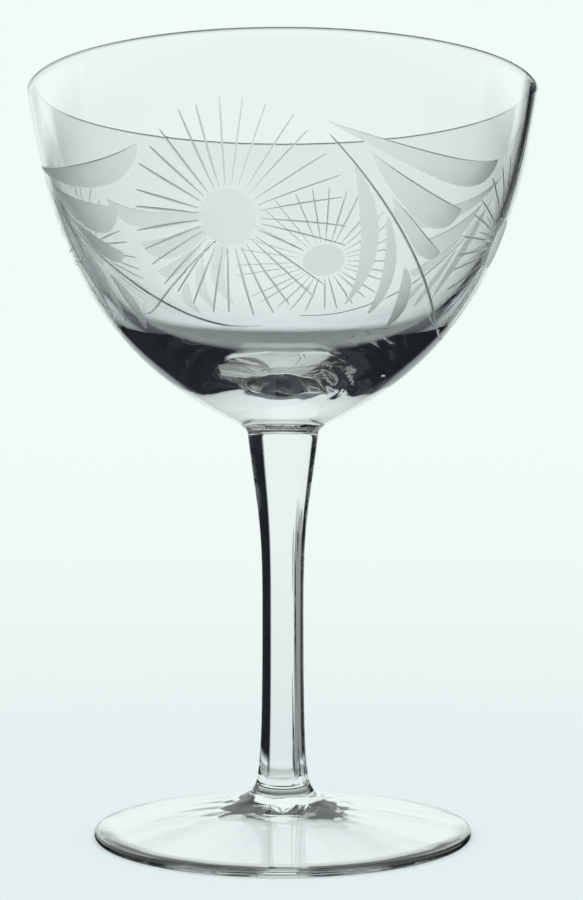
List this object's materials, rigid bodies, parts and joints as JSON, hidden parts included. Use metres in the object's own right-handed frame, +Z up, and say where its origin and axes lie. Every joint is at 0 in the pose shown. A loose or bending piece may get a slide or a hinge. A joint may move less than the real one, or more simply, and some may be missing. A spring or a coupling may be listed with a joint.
{
  "type": "sherbet glass",
  "caption": "Stemmed sherbet glass with a round thin-walled bowl on a thick base, a solid tapered stem and a flat foot, for a cold dessert or a drink.",
  "frame": {"origin": "middle of the surface that the foot stands on", "axes": "+Z up along the axis that every piece is turned about, from the foot to the rim; +Y away from the front of the cut decoration"},
  "size_m": [0.0954, 0.0954, 0.1382],
  "materials": {
    "clear_glass": "clear fire-polished glass, with matt wheel-cut decoration on the outside of the bowl"
  },
  "bodies": {
    "root": {"foot": "clear_glass", "stem": "clear_glass", "bowl": "clear_glass"}
  },
  "joints": []
}
